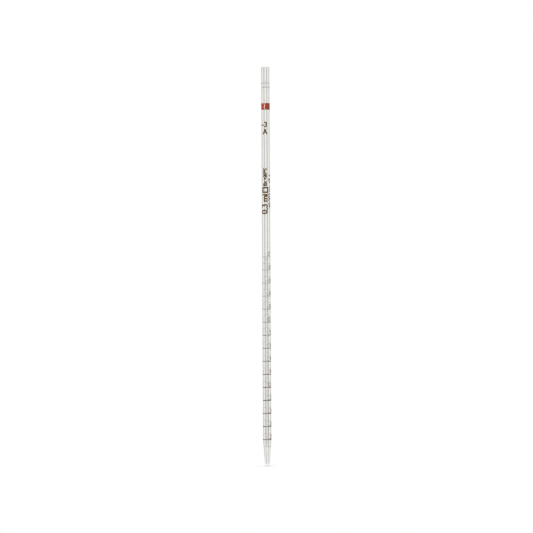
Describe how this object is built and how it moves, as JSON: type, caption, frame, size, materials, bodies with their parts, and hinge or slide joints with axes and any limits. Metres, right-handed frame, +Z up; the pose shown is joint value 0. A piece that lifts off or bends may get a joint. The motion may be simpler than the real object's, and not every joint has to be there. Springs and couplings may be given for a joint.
{
  "type": "graduated pipette",
  "caption": "Slim capillary glass pipette with a drawn tip, a fire-polished suction end, a full-circle scale in brown stain and a red colour band.",
  "frame": {"origin": "centre of the tip's end face, at the bottom of the tube's axis", "axes": "+Z up the tube's axis towards the suction end, -Y the side that carries the capacity inscription, +X to that side's right"},
  "size_m": [0.0078, 0.0078, 0.36],
  "materials": {
    "glass": "clear, fire-polished",
    "brown_stain": "fired brown stain",
    "dark_enamel": "fired dark enamel",
    "red_enamel": "fired brick-red enamel",
    "frost": "grey frosted enamel"
  },
  "bodies": {
    "root": {"blowout_ring_lower": "frost", "blowout_ring_upper": "frost", "calibration_inscription": "brown_stain", "capacity_inscription": "brown_stain", "class_letter": "brown_stain", "colour_code_band": "red_enamel", "glass_tube": "glass", "plain_square_mark": "brown_stain", "scale_marks_000": "brown_stain", "scale_marks_020": "brown_stain", "scale_marks_040": "brown_stain", "scale_marks_060": "brown_stain", "scale_marks_080": "brown_stain", "scale_marks_100": "brown_stain", "scale_marks_120": "brown_stain", "scale_marks_140": "brown_stain", "scale_marks_160": "brown_stain", "scale_marks_180": "brown_stain", "scale_marks_200": "brown_stain", "scale_marks_220": "brown_stain", "scale_marks_240": "brown_stain", "scale_marks_260": "brown_stain", "scale_marks_280": "brown_stain", "scale_numeral_000": "brown_stain", "scale_numeral_020": "brown_stain", "scale_numeral_040": "brown_stain", "scale_numeral_060": "brown_stain", "scale_numeral_080": "brown_stain", "scale_numeral_100": "brown_stain", "scale_numeral_120": "brown_stain", "scale_numeral_140": "brown_stain", "scale_numeral_160": "brown_stain", "scale_numeral_180": "brown_stain", "scale_numeral_200": "brown_stain", "scale_numeral_220": "brown_stain", "scale_numeral_240": "brown_stain", "scale_numeral_260": "brown_stain", "scale_numeral_280": "brown_stain", "scale_ring_000": "brown_stain", "scale_ring_020": "brown_stain", "scale_ring_040": "brown_stain", "scale_ring_060": "brown_stain", "scale_ring_080": "brown_stain", "scale_ring_100": "brown_stain", "scale_ring_120": "brown_stain", "scale_ring_140": "brown_stain", "scale_ring_160": "brown_stain", "scale_ring_180": "brown_stain", "scale_ring_200": "brown_stain", "scale_ring_220": "brown_stain", "scale_ring_240": "brown_stain", "scale_ring_260": "brown_stain", "scale_ring_280": "brown_stain", "tolerance_inscription": "dark_enamel", "type_digit": "brown_stain"}
  },
  "joints": []
}
